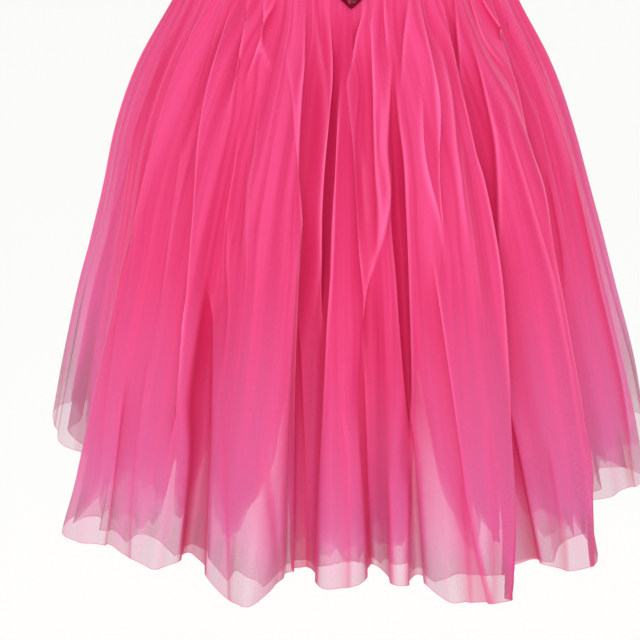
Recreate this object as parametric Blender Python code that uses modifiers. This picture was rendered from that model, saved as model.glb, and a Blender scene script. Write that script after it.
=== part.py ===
"""A ballet tutu of romantic length: four gathered tulle layers under a pointed basque band.

Metres, +Z up. The origin is the centre of the waist opening, level with the band's top edge, and
the front faces -Y. Angles run round the waist in degrees: 0 at centre front, 90 at the +X side
seam, 180 at centre back and -90 at the -X side seam.

Every layer is one open surface, a loft of rings from the waist to the hem, that a Solidify
modifier turns into a wall of cloth. A ring is an ellipse that the big flutes push in and out.
"""
import math
from typing import NamedTuple

import bpy
import numpy as np

COLLECTION_NAME = "ballet_tutu"

# Walls and seams.
TULLE_THICKNESS = 0.0010
BAND_THICKNESS = 0.0014
SEAM_GAP = 0.0003
LAYER_GAP = 0.0004  # between two layers where the band holds them together
BAND_CLEARANCE = 0.0010  # between the band and the outermost layer
HELD_SLANT = 1.25  # widens the stack of layers at the band, where they slope

# Heights on the garment.
BAND_TOP = 0.0
BAND_EDGE = -0.060  # the band's lower edge at the sides and back
POINT_DROP = 0.065  # how far the front point reaches below that edge
POINT_REACH = 50.0  # degrees either side of centre front at which the point starts
POINT_POWER = 1.6  # above 1 hollows the point's two sides
TULLE_TOP = -0.055  # the gathered heads of the tulle, inside the band
HEM_HEIGHT = -0.600
HEM_RADIUS = 0.332  # the outline's radius at the hem, which the flutes are measured against


class OutlineRing(NamedTuple):
    """The garment's outline without folds at one height."""

    height: float
    half_width: float
    depth_share: float  # half depth as a share of the half width


OUTLINE = (
    OutlineRing(0.000, 0.1180, 0.80),
    OutlineRing(-0.030, 0.1200, 0.80),
    OutlineRing(-0.052, 0.1250, 0.81),
    OutlineRing(-0.070, 0.1335, 0.82),
    OutlineRing(-0.090, 0.1445, 0.84),
    OutlineRing(-0.136, 0.1695, 0.87),
    OutlineRing(-0.190, 0.2005, 0.90),
    OutlineRing(-0.250, 0.2290, 0.93),
    OutlineRing(-0.320, 0.2540, 0.95),
    OutlineRing(-0.400, 0.2750, 0.97),
    OutlineRing(-0.500, 0.3020, 0.99),
    OutlineRing(-0.600, 0.3320, 1.00),
)


class Flute(NamedTuple):
    """One big fold where the hem shows it: angles in degrees, radii in metres.

    It rises from its left foot to its left shoulder, runs over to its right shoulder and falls
    to its right foot.
    """

    left_foot: float
    left_foot_radius: float
    left_shoulder: float
    left_shoulder_radius: float
    right_shoulder: float
    right_shoulder_radius: float
    right_foot: float
    right_foot_radius: float


FRONT_FLUTES = (
    Flute(-105.0, 0.288, -97.0, 0.336, -89.0, 0.318, -76.0, 0.280),
    Flute(-60.0, 0.285, -52.6, 0.350, -49.5, 0.345, -46.0, 0.329),
    Flute(-44.5, 0.328, -40.0, 0.331, -33.8, 0.334, -30.0, 0.290),
    Flute(-27.0, 0.298, -18.0, 0.341, -14.2, 0.346, -10.0, 0.282),
    Flute(-6.7, 0.282, -4.0, 0.320, 0.5, 0.317, 4.2, 0.278),
    Flute(5.1, 0.278, 7.4, 0.315, 9.0, 0.318, 11.3, 0.298),
    Flute(12.4, 0.302, 16.0, 0.350, 25.0, 0.358, 28.5, 0.318),
    Flute(33.0, 0.315, 38.0, 0.345, 44.3, 0.347, 49.0, 0.284),
    Flute(55.0, 0.282, 62.0, 0.306, 70.5, 0.328, 76.0, 0.280),
    Flute(80.0, 0.290, 86.0, 0.331, 95.0, 0.339, 103.0, 0.286),
)

# The flutes of the back, which a loop spreads and then makes uneven.
BACK_FLUTE_COUNT = 8
BACK_CREST_RADIUS = 0.342
BACK_CREST_SWING = 0.009
BACK_FOOT_RADIUS = 0.284
BACK_FOOT_SWING = 0.008
BACK_TOP_SHARE = 0.12  # half the width of a flute's top, as a share of the spacing
BACK_TOP_SWING = 0.04
BACK_BASE_SHARE = 0.40  # half the width between its feet
BACK_BASE_SWING = 0.03
BACK_SHIFT_SHARE = 0.14  # how far a flute strays from even spacing

# How flutes grow from the band to the hem.
FOLD_START = 0.008  # folds begin this far below the band's edge
FLUTE_START_SHARE = 0.30  # how deep the flutes are once clear of the band
FLUTE_GROW_DEPTH = 0.055  # the drop over which they get clear of it
FLUTE_HEAD_START = 0.15  # lets them deepen sooner than evenly
FLUTE_LEAN = 0.8  # 0 leaves flutes radial, 1 turns front and back ones parallel to Y
LEAN_SHARE = 0.90  # the share of the outline's radius at which the lean turns

# Gathers: the narrower folds that ride on the flutes.
GATHER_COUNT = 44
GATHER_DRIFTS = ((3, 1.8, 0.7), (7, 1.1, 0.0))  # waves a turn, radians of drift, start


class GatherDepth(NamedTuple):
    """How deep the gathers are at one drop below the start of the folds."""

    drop: float
    half_depth: float


GATHER_DEPTHS = (
    GatherDepth(0.000, 0.0000),
    GatherDepth(0.012, 0.0012),
    GatherDepth(0.050, 0.0026),
    GatherDepth(0.180, 0.0034),
    GatherDepth(0.380, 0.0026),
    GatherDepth(0.560, 0.0016),
)

INSET_MIDDLE = 0.30  # the share of the height at which a layer reaches its middle inset
HEM_WAVES = ((5, 1.0, 0.4), (11, 0.6, 1.9))  # waves a turn, share of the layer's wave, start


class Layer(NamedTuple):
    """One tulle layer, with the grid that its surface is lofted on."""

    name: str
    order: int  # 0 is the outermost
    hem_lift: float  # how much shorter it is than the outermost
    hem_wave: float  # how much its hem rises and dips
    flute_depth: float  # how closely it follows the flutes
    middle_inset: float  # how far inside the outermost it lies
    hem_inset: float
    columns: int
    rows: tuple[float, ...]  # shares of the way from its head to its hem
    colour: tuple[float, float, float]


LAYERS = (
    Layer(
        name="overlay", order=0, hem_lift=0.0, hem_wave=0.004, flute_depth=1.00,
        middle_inset=0.0, hem_inset=0.0, columns=200,
        rows=(0.0, 0.045, 0.095, 0.190, 0.350, 0.620, 1.0), colour=(0.85, 0.06, 0.22),
    ),
    Layer(
        name="second_layer", order=1, hem_lift=0.012, hem_wave=0.005, flute_depth=0.96,
        middle_inset=0.010, hem_inset=0.016, columns=200,
        rows=(0.0, 0.045, 0.130, 0.290, 0.560, 1.0), colour=(0.83, 0.05, 0.20),
    ),
    Layer(
        name="petticoat", order=2, hem_lift=0.038, hem_wave=0.009, flute_depth=0.72,
        middle_inset=0.025, hem_inset=0.042, columns=120,
        rows=(0.0, 0.050, 0.190, 0.500, 1.0), colour=(0.80, 0.03, 0.15),
    ),
    Layer(
        name="inner_petticoat", order=3, hem_lift=0.070, hem_wave=0.010, flute_depth=0.58,
        middle_inset=0.036, hem_inset=0.058, columns=120,
        rows=(0.0, 0.055, 0.210, 0.540, 1.0), colour=(0.76, 0.02, 0.12),
    ),
)

BAND_COLUMNS = 72
BAND_ROWS = 3
BAND_COLOUR = (0.055, 0.008, 0.022)
BAND_ROUGHNESS = 0.38
TULLE_ROUGHNESS = 0.80
SHARP_ANGLE = math.radians(50.0)
SLOPE_STEP = 0.001  # the drop over which the outline's slope is measured

HALVES = (("front", 0.0), ("back", 180.0))  # name and middle angle


def smooth_step(share):
    """Ease a share from 0 to 1: 3s^2 - 2s^3, held level outside."""
    share = np.clip(share, 0.0, 1.0)
    return share * share * (3.0 - 2.0 * share)


def eased_lookup(value, stops, results):
    """Run through a table with a level spot at each stop."""
    place = np.clip(np.searchsorted(stops, value, side="right") - 1, 0, len(stops) - 2)
    share = smooth_step((value - stops[place]) / (stops[place + 1] - stops[place]))
    return results[place] + (results[place + 1] - results[place]) * share


def curved_lookup(value, stops, results):
    """Run through a table on one smooth curve, with the slope at a stop taken across it."""
    slopes = np.gradient(results, stops)
    place = np.clip(np.searchsorted(stops, value, side="right") - 1, 0, len(stops) - 2)
    width = stops[place + 1] - stops[place]
    s = np.clip((value - stops[place]) / width, 0.0, 1.0)
    start, end = results[place], results[place + 1]
    return (
        (2 * s**3 - 3 * s**2 + 1) * start
        + (s**3 - 2 * s**2 + s) * width * slopes[place]
        + (3 * s**2 - 2 * s**3) * end
        + (s**3 - s**2) * width * slopes[place + 1]
    )


def back_flutes():
    """Make the back's flutes, spread between the last front flute and the first."""
    start = FRONT_FLUTES[-1].right_foot
    spacing = (FRONT_FLUTES[0].left_foot + 360.0 - start) / BACK_FLUTE_COUNT
    flutes = []
    for i in range(BACK_FLUTE_COUNT):
        middle = start + (i + 0.5 + BACK_SHIFT_SHARE * math.sin(2.3 * i + 0.6)) * spacing
        half_top = (BACK_TOP_SHARE + BACK_TOP_SWING * math.sin(1.7 * i)) * spacing
        half_base = (BACK_BASE_SHARE + BACK_BASE_SWING * math.cos(2.9 * i)) * spacing
        crest = BACK_CREST_RADIUS + BACK_CREST_SWING * math.sin(2.1 * i + 0.4)
        foot = BACK_FOOT_RADIUS + BACK_FOOT_SWING * math.cos(1.9 * i)
        flutes.append(Flute(middle - half_base, foot, middle - half_top, crest,
                            middle + half_top, crest, middle + half_base, foot))
    return flutes


def flute_table():
    """List the angles and radii of all flutes once round the hem, and back to the first."""
    rows = [*FRONT_FLUTES, *back_flutes()]
    angles = [angle for row in rows for angle in row[0::2]]
    radii = [radius for row in rows for radius in row[1::2]]
    angles.append(rows[0].left_foot + 360.0)
    radii.append(rows[0].left_foot_radius)
    return np.array(angles), np.array(radii)


FLUTE_ANGLES, FLUTE_RADII = flute_table()
OUTLINE_HEIGHTS, OUTLINE_WIDTHS, OUTLINE_SHARES = np.array(OUTLINE[::-1]).T
GATHER_DROPS, GATHER_HALF_DEPTHS = np.array(GATHER_DEPTHS).T


def outline_radius(degrees, height):
    """Radius of the garment's outline without folds: an ellipse at each height."""
    width = curved_lookup(height, OUTLINE_HEIGHTS, OUTLINE_WIDTHS)
    depth = width * curved_lookup(height, OUTLINE_HEIGHTS, OUTLINE_SHARES)
    angle = np.radians(degrees)
    return width * depth / np.hypot(depth * np.sin(angle), width * np.cos(angle))


def band_edge(degrees):
    """Height of the band's lower edge, with the point at centre front."""
    from_front = np.abs((degrees + 180.0) % 360.0 - 180.0)
    share = np.clip(1.0 - from_front / POINT_REACH, 0.0, 1.0)
    return BAND_EDGE - POINT_DROP * share**POINT_POWER


def flute_share(degrees):
    """Radius of the flutes at the hem, as a share of the outline's."""
    turned = (degrees - FLUTE_ANGLES[0]) % 360.0 + FLUTE_ANGLES[0]
    return eased_lookup(turned, FLUTE_ANGLES, FLUTE_RADII) / HEM_RADIUS


def gather_wave(degrees):
    """One gather after another round the waist, from -1 to 1, unevenly spaced."""
    angle = np.radians(degrees)
    drift = sum(reach * np.sin(waves * angle + start) for waves, reach, start in GATHER_DRIFTS)
    return np.cos(GATHER_COUNT * angle + drift)


def layer_points(layer, degrees, height):
    """Points of a layer's outer face at the given angles and heights, as an array of XYZ."""
    outline = outline_radius(degrees, height)
    drop = np.maximum(band_edge(degrees) - FOLD_START - height, 0.0)
    clear = smooth_step(drop / FLUTE_GROW_DEPTH)
    depth = (BAND_EDGE - height) / (BAND_EDGE - HEM_HEIGHT)
    deepening = smooth_step(FLUTE_HEAD_START + (1.0 - FLUTE_HEAD_START) * depth)
    grown = (FLUTE_START_SHARE + (1.0 - FLUTE_START_SHARE) * deepening) * clear * layer.flute_depth
    radius = outline * (1.0 + grown * (flute_share(degrees) - 1.0))
    radius = radius + curved_lookup(drop, GATHER_DROPS, GATHER_HALF_DEPTHS) * gather_wave(degrees)
    radius = radius - layer.order * (TULLE_THICKNESS + LAYER_GAP) * HELD_SLANT
    insets = (0.0, layer.middle_inset, layer.hem_inset)
    radius = radius - np.interp(depth, (0.0, INSET_MIDDLE, 1.0), insets)
    angle = np.radians(degrees)
    lean = np.sin(angle) * np.cos(angle) * np.log(radius / (LEAN_SHARE * outline))
    angle = angle - FLUTE_LEAN * lean * clear
    return np.stack((radius * np.sin(angle), -radius * np.cos(angle), height), axis=-1)


def half_angles(columns, middle, radius):
    """Angles of half a ring round its middle angle, each end half a gap short of the seam."""
    reach = 90.0 - math.degrees(SEAM_GAP / 2.0 / radius)
    return np.linspace(middle - reach, middle + reach, columns // 2 + 1)


def cloth_material(name, colour, roughness):
    """Make a plain cloth material."""
    material = bpy.data.materials.new(name)
    material.use_nodes = True
    shader = material.node_tree.nodes["Principled BSDF"]
    shader.inputs["Base Color"].default_value = (*colour, 1.0)
    shader.inputs["Roughness"].default_value = roughness
    shader.inputs["Metallic"].default_value = 0.0
    return material


def cloth_piece(name, points, collection, thickness, material):
    """Loft a piece through a grid of points, rows first, and give it its wall."""
    rows, columns = points.shape[:2]
    corner = np.arange(rows - 1)[:, None] * columns + np.arange(columns - 1)
    faces = np.stack((corner, corner + columns, corner + columns + 1, corner + 1), axis=-1)
    mesh = bpy.data.meshes.new(name)
    mesh.from_pydata(points.reshape(-1, 3).tolist(), [], faces.reshape(-1, 4).tolist())
    mesh.shade_smooth()
    mesh.set_sharp_from_angle(angle=SHARP_ANGLE)
    mesh.materials.append(material)
    piece = bpy.data.objects.new(name, mesh)
    collection.objects.link(piece)
    wall = piece.modifiers.new("cloth", "SOLIDIFY")
    wall.thickness = thickness
    wall.offset = -1.0
    wall.use_even_offset = True
    wall.use_quality_normals = True
    triangles = piece.modifiers.new("triangles", "TRIANGULATE")
    triangles.quad_method = "SHORTEST_DIAGONAL"


def build_layer(layer, collection):
    """Build a tulle layer's front and back, which meet at the side seams."""
    material = cloth_material(layer.name, layer.colour, TULLE_ROUGHNESS)
    for half, middle in HALVES:
        degrees = half_angles(layer.columns, middle, OUTLINE[2].half_width)[None, :]
        angle = np.radians(degrees)
        wave = sum(share * np.sin(waves * angle + start) for waves, share, start in HEM_WAVES)
        hem = HEM_HEIGHT + layer.hem_lift + layer.hem_wave * wave
        height = TULLE_TOP + np.array(layer.rows)[:, None] * (hem - TULLE_TOP)
        points = layer_points(layer, np.broadcast_to(degrees, height.shape), height)
        cloth_piece(f"{layer.name}_{half}", points, collection, TULLE_THICKNESS, material)


def build_band(collection):
    """Build the basque band: a plain back and a front that ends in a point."""
    material = cloth_material("basque", BAND_COLOUR, BAND_ROUGHNESS)
    for half, middle in HALVES:
        degrees = half_angles(BAND_COLUMNS, middle, OUTLINE[0].half_width)[None, :]
        share = np.linspace(0.0, 1.0, BAND_ROWS + 1)[:, None]
        height = BAND_TOP + share * (band_edge(degrees) - BAND_TOP)
        outline = outline_radius(degrees, height)
        slope = (outline_radius(degrees, height - SLOPE_STEP) - outline) / SLOPE_STEP
        radius = outline + (BAND_CLEARANCE + BAND_THICKNESS) * np.hypot(1.0, slope)
        angle = np.radians(degrees)
        points = np.stack((radius * np.sin(angle), -radius * np.cos(angle), height), axis=-1)
        cloth_piece(f"basque_{half}", points, collection, BAND_THICKNESS, material)


def main():
    """Clear the scene and build the garment in a collection of its own."""
    for thing in list(bpy.data.objects):
        bpy.data.objects.remove(thing, do_unlink=True)
    collection = bpy.data.collections.new(COLLECTION_NAME)
    bpy.context.scene.collection.children.link(collection)
    build_band(collection)
    for layer in LAYERS:
        build_layer(layer, collection)


main()
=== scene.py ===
"""The looks of a ballet tutu: gathered tulle layers under a sequinned basque with a front point.

Metres, +Z up. The origin is the centre of the waist opening, level with the band's top edge, and
the front faces -Y. Angles run round the waist in degrees: 0 at centre front, 90 at the +X side
seam, 180 at centre back and -90 at the -X side seam.
"""
import logging
import math
from dataclasses import dataclass
from enum import Enum
from typing import NamedTuple

import bpy
import numpy as np
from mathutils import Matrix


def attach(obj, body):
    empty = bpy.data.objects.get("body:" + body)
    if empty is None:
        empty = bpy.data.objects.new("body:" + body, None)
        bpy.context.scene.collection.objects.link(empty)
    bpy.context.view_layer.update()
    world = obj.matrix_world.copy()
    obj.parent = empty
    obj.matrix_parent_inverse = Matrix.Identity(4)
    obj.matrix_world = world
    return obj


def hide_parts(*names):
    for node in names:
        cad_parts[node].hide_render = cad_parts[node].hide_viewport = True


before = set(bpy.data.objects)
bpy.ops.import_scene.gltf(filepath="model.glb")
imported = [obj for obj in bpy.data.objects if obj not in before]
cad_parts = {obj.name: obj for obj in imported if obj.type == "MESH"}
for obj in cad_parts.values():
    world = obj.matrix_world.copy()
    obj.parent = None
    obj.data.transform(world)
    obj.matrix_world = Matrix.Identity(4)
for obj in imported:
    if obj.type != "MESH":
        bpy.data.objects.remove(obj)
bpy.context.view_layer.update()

BODY = "root"
LOG = logging.getLogger("tutu")

Array = np.ndarray
Colour = tuple[float, float, float]
Piece, Material = bpy.types.Object, bpy.types.Material
Group, Node, Socket = bpy.types.NodeTree, bpy.types.Node, bpy.types.NodeSocket


class Half(Enum):
    """The two halves of every piece, by the angle of their middle."""

    FRONT = 0.0
    BACK = 180.0

    @property
    def sign(self) -> float:
        """1 for the front, -1 for the back."""
        return math.cos(math.radians(self.value))

    def angles(self, count: int) -> Array:
        """Spread angles evenly from one side seam to the other."""
        return np.linspace(self.value - 90.0, self.value + 90.0, count)

    def of(self, name: str) -> str:
        """Name this half of a layer or of the band."""
        return f"{name}_{self.name.lower()}"


# Curves, angles and points


def smooth_step(share: Array | float) -> Array:
    """Ease a share from 0 to 1: 3s^2 - 2s^3, held level outside."""
    share = np.clip(share, 0, 1)
    return share * share * (3.0 - 2 * share)


def eased_lookup(value: Array, stops: Array, results: Array) -> Array:
    """Run through a table with a level spot at each stop."""
    place = np.clip(np.searchsorted(stops, value, side="right") - 1, 0, len(stops) - 2)
    share = smooth_step((value - stops[place]) / (stops[place + 1] - stops[place]))
    return results[place] + (results[place + 1] - results[place]) * share


def curves(value: Array, table: tuple[tuple[float, ...], ...]) -> list[Array]:
    """Look values up in a table's first column, and run through the others on smooth curves.

    The first column grows from row to row, and the slope at a stop is taken across it.
    """
    stops, *columns = np.array(table).T
    place = np.clip(np.searchsorted(stops, value, side="right") - 1, 0, len(stops) - 2)
    width = stops[place + 1] - stops[place]
    s = np.clip((value - stops[place]) / width, 0, 1)
    return [(2 * s**3 - 3 * s**2 + 1) * column[place] + (s**3 - 2 * s**2 + s) * width * slope[place]
            + (3 * s**2 - 2 * s**3) * column[place + 1] + (s**3 - s**2) * width * slope[place + 1]
            for column in columns for slope in [np.gradient(column, stops)]]


def wrap(degrees: Array, start: float = -180.0) -> Array:
    """Bring angles into the one turn that begins at a start."""
    return (degrees - start) % 360 + start


def unit(vectors: Array) -> Array:
    """Scale vectors to length 1."""
    return vectors / np.linalg.norm(vectors, axis=-1, keepdims=True)


def round_axis(radius: Array, angle: Array, height: Array) -> Array:
    """XYZ of points round the Z axis, with their angles in radians."""
    sides = (radius * np.sin(angle), -radius * np.cos(angle), height)
    return np.stack(np.broadcast_arrays(*sides), axis=-1)


def rings(middle: Array, radius: float, turn: Array, first: Array, second: Array) -> Array:
    """Put a ring of points round each middle, in the plane of two directions."""
    cosine, sine = np.cos(turn)[None, :, None], np.sin(turn)[None, :, None]
    return middle[:, None, :] + radius * (cosine * first[:, None, :] + sine * second[:, None, :])


def flat_uv(row: Array, height: Array) -> Array:
    """Lay cloth flat: across by the length along a row of points, and down by height."""
    across = np.concatenate(([0.0], np.cumsum(np.linalg.norm(np.diff(row, axis=0), axis=1))))
    return np.stack((np.broadcast_to(across, height.shape), height), axis=-1)


# The garment's worn form


# The outline without folds: height, half width, half depth as a share of the half width.
OUTLINE = (
    (-0.600, 0.3320, 1.00),
    (-0.500, 0.3020, 0.99),
    (-0.400, 0.2750, 0.97),
    (-0.320, 0.2540, 0.95),
    (-0.250, 0.2290, 0.93),
    (-0.190, 0.2005, 0.90),
    (-0.136, 0.1695, 0.87),
    (-0.090, 0.1445, 0.84),
    (-0.070, 0.1335, 0.82),
    (-0.052, 0.1250, 0.81),
    (-0.030, 0.1200, 0.80),
    (0.000, 0.1180, 0.80),
)

# The front's big folds at the hem: the angle and radius of left foot, left shoulder, right
# shoulder and right foot.
FRONT_FLUTES = (
    (-105, 0.288, -97, 0.336, -89, 0.318, -76, 0.280),
    (-60, 0.285, -52.6, 0.350, -49.5, 0.345, -46, 0.329),
    (-44.5, 0.328, -40, 0.331, -33.8, 0.334, -30, 0.290),
    (-27, 0.298, -19.2, 0.341, -17, 0.346, -12.6, 0.284),
    (-6.7, 0.282, -4, 0.320, 0.5, 0.317, 4.2, 0.278),
    (5.1, 0.278, 7.4, 0.315, 9, 0.318, 11.3, 0.298),
    (12.4, 0.302, 16, 0.350, 25, 0.358, 28.5, 0.318),
    (33, 0.315, 38, 0.345, 44.3, 0.347, 49, 0.284),
    (55, 0.282, 62, 0.306, 70.5, 0.328, 76, 0.280),
    (80, 0.290, 86, 0.331, 95, 0.339, 103, 0.286),
)

# How much further out than the outline the cloth hangs: height, at the left side, at the right.
SIDE_EASES = (
    (-0.600, 0.000, 0.000),
    (-0.515, 0.005, 0.004),
    (-0.430, 0.005, -0.001),
    (-0.380, 0.001, -0.004),
    (-0.330, -0.002, -0.008),
    (-0.260, 0.002, -0.008),
    (-0.214, 0.004, -0.006),
    (-0.136, 0.002, -0.005),
    (-0.060, 0.000, 0.000),
)

# The gathers: drop below the start of the folds, half depth.
GATHER_DEPTHS = ((0, 0), (0.012, 0.0012), (0.050, 0.0026), (0.180, 0.0034), (0.380, 0.0026),
                 (0.560, 0.0016))


@dataclass(frozen=True)
class GarmentForm:
    """The worn form that the solids have, as functions of angle and height."""

    band_low: float = -0.060  # the lower edge at the sides and back; the top is at 0
    point_drop: float = 0.068
    point_reach: float = 50.0
    point_power: float = 1.6
    tulle_top: float = -0.055
    hem_height: float = -0.600
    hem_radius: float = 0.332
    fold_start: float = 0.008
    low_start: float = -0.42
    flute_start: float = 0.30
    flute_grow_depth: float = 0.055
    flute_head_start: float = 0.15
    flute_lean: float = 0.8
    shoulder_round: float = 1.6  # in degrees
    corner_round: float = 1.0
    pleat_height: float = 0.0030  # of the pleats at each side
    pleat_counts: tuple[int, int] = (46, 83)
    lean_share: float = 0.90
    gather_count: int = 44
    gather_drifts: tuple[tuple[int, float, float], ...] = ((3, 1.8, 0.7), (7, 1.1, 0.0))
    back_flute_count: int = 8

    def flute_table(self) -> tuple[Array, Array]:
        """List angles and radii of all flutes, once round the hem and back to the first.

        The back's are spread evenly, and sines of their number make them uneven.
        """
        start = FRONT_FLUTES[-1][6]
        spacing = (FRONT_FLUTES[0][0] + 360 - start) / self.back_flute_count
        rows = list(FRONT_FLUTES)
        for i in range(self.back_flute_count):
            middle = start + (i + 0.5 + 0.14 * math.sin(2.3 * i + 0.6)) * spacing
            half_top = (0.12 + 0.04 * math.sin(1.7 * i)) * spacing
            half_base = (0.40 + 0.03 * math.cos(2.9 * i)) * spacing
            crest = 0.342 + 0.009 * math.sin(2.1 * i + 0.4)
            foot = 0.284 + 0.008 * math.cos(1.9 * i)
            rows.append((middle - half_base, foot, middle - half_top, crest,
                         middle + half_top, crest, middle + half_base, foot))
        angles, radii = np.array(rows).reshape(-1, 2).T
        return np.append(angles, angles[0] + 360), np.append(radii, radii[0])

    def outline_radius(self, degrees: Array, height: Array) -> Array:
        """Radius of the outline without folds: width times depth over the ellipse's reach."""
        width, share = curves(height, OUTLINE)
        left, right = curves(height, SIDE_EASES)
        depth = width * share
        sine, cosine = np.sin(np.radians(degrees)), np.cos(np.radians(degrees))
        radius = width * depth / np.hypot(depth * sine, width * cosine)
        return radius + left * np.maximum(-sine, 0)**4 + right * np.maximum(sine, 0)**4

    def band_edge(self, degrees: Array) -> Array:
        """Height of the band's lower edge, which drops as a power of nearness to the front."""
        share = np.clip(1 - np.abs(wrap(degrees)) / self.point_reach, 0, 1)
        return self.band_low - self.point_drop * share**self.point_power

    def drop(self, degrees: Array, height: Array) -> Array:
        """How far points lie below the start of the folds, which follows the band's edge."""
        return np.maximum(self.band_edge(degrees) - self.fold_start - height, 0.0)

    def flute_share(self, degrees: Array) -> Array:
        """Radius of the flutes at the hem, as a share of the outline's, with its corners rounded."""
        angles, radii = self.flute_table()
        before, at, after = (eased_lookup(wrap(degrees + step, angles[0]), angles, radii)
                             for step in (-self.corner_round, 0.0, self.corner_round))
        return (before + 2 * at + after) / (4.0 * self.hem_radius)

    def lens_share(self, degrees: Array) -> Array:
        """Share that grows, rounded, from 0 at the flutes' shoulders to 1 at their middles."""
        angles, _ = self.flute_table()
        turned = wrap(degrees, angles[0])
        share = np.zeros_like(turned)
        for left, right in zip(angles[1::4], angles[2::4]):
            away = (turned - 0.5 * (left + right)) / (0.5 * (right - left) + self.shoulder_round)
            share = np.maximum(share, 1 - away**4)
        return share

    def gather_wave(self, degrees: Array) -> Array:
        """One gather after another round the waist: a cosine whose phase drifts on slow sines."""
        angle = np.radians(degrees)
        drift = sum(reach * np.sin(waves * angle + start)
                    for waves, reach, start in self.gather_drifts)
        return np.cos(self.gather_count * angle + drift)

    def pleat_wave(self, degrees: Array) -> Array:
        """Uneven soft pleats down each side, from -1 to 1."""
        angle = np.radians(degrees)
        first, second = self.pleat_counts
        return (0.6 * np.cos(first * angle + 1.4 * np.sin(5.0 * angle + 0.5))
                + 0.4 * np.cos(second * angle + 1.1 * np.sin(7.0 * angle)))


FORM = GarmentForm()


# Folds


class Side(Enum):
    """The side of a fold that its hollow lies on, as seen from the front."""

    LEFT = -1.0
    RIGHT = 1.0


@dataclass(frozen=True)
class Fold:
    """One fold of the cloth: a crest that hangs over a hollow on one side of it.

    The path gives the crest's height and how far across it is, from its foot up. The flank is the
    crest's width on its gentle side and the reach is the hollow's width. Gloss and shade say how
    strong the painted highlight on the crest and the painted shade in the hollow are, and how much
    cloth they add as doubled plies. Sizes are in metres.
    """

    side: Side
    rise: float
    lean: float
    flank: float
    reach: float
    gloss: float
    shade: float
    path: list[tuple[float, float]]
    head_width: float = 0.60  # how wide a fold is at its head, as a share of its foot
    head_start: float = 0.012  # how far above its path it begins
    head_fade: float = 0.020
    foot_fade: float = 0.050
    rise_fade: float = 6.0  # how much longer both fades are for each metre of rise
    lean_fade: float = 3.0
    steep: float = 0.0030
    edge: float = 0.0015
    sink: float = 0.45

    def work(self, across: Array, sine: Array, cosine: Array, height: Array) -> Array:
        """Work out what the fold does to points.

        The distance d from the crest is measured along the cloth and grows towards the hollow.
        The rise and the lean are a bump, e^(-d^2), wide on the flank and steep on the hollow's
        side, and the hollow sinks in a wider bump beside it. All is eased in at the head and out
        at the foot. The crest starts short of its path by what the lean and the rise add. The crest
        mark, narrow on the crest, is a painted highlight and the hollow mark, wide over the hollow,
        is painted shade; both also add plies.

        Args:
            across, height: where the points are.
            sine: how far outwards leads across, from -1 to 1.
            cosine: how squarely the cloth faces the front or the back.

        Returns:
            Shifts outwards and sideways, and marks from 0 to 1 of the crest's painted highlight and
            the hollow's painted shade, which also add plies.
        """
        foot, top = self.path[0][0], self.path[-1][0]
        line, = curves(height, self.path)
        inside = np.clip((top - height) / (top - foot), 0, 1)
        spread = self.head_width + (1 - self.head_width) * inside
        half = 0.5 * (top - foot)
        head_fade = self.head_fade + self.rise_fade * self.rise + self.lean_fade * self.lean
        foot_fade = self.foot_fade + self.rise_fade * self.rise
        fade = (smooth_step((top + self.head_start - height) / min(head_fade, half))
                * smooth_step((height - foot) / min(foot_fade, half)))
        towards = ((across + self.rise * fade * sine - line) * self.side.value / cosine
                   + self.lean * fade)
        flank = np.where(towards < 0.0, self.flank * spread, self.steep)
        bump = fade * np.exp(-(towards / flank) ** 2)
        sunk = fade * np.exp(-((towards - self.lean - self.reach) / self.reach) ** 2)
        # The crest mark paints a highlight along the crest and the hollow mark paints shade across the
        # hollow; the material also counts both as more plies.
        crest = fade * self.gloss * np.exp(-(towards / self.edge) ** 2)
        width = np.where(towards < 0.0, self.edge, self.reach + self.lean)
        hollow = fade * self.shade * np.exp(-(towards / width) ** 2)
        return np.array((self.rise * (bump - self.sink * sunk), self.side.value * self.lean * bump,
                         crest, hollow))
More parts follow.
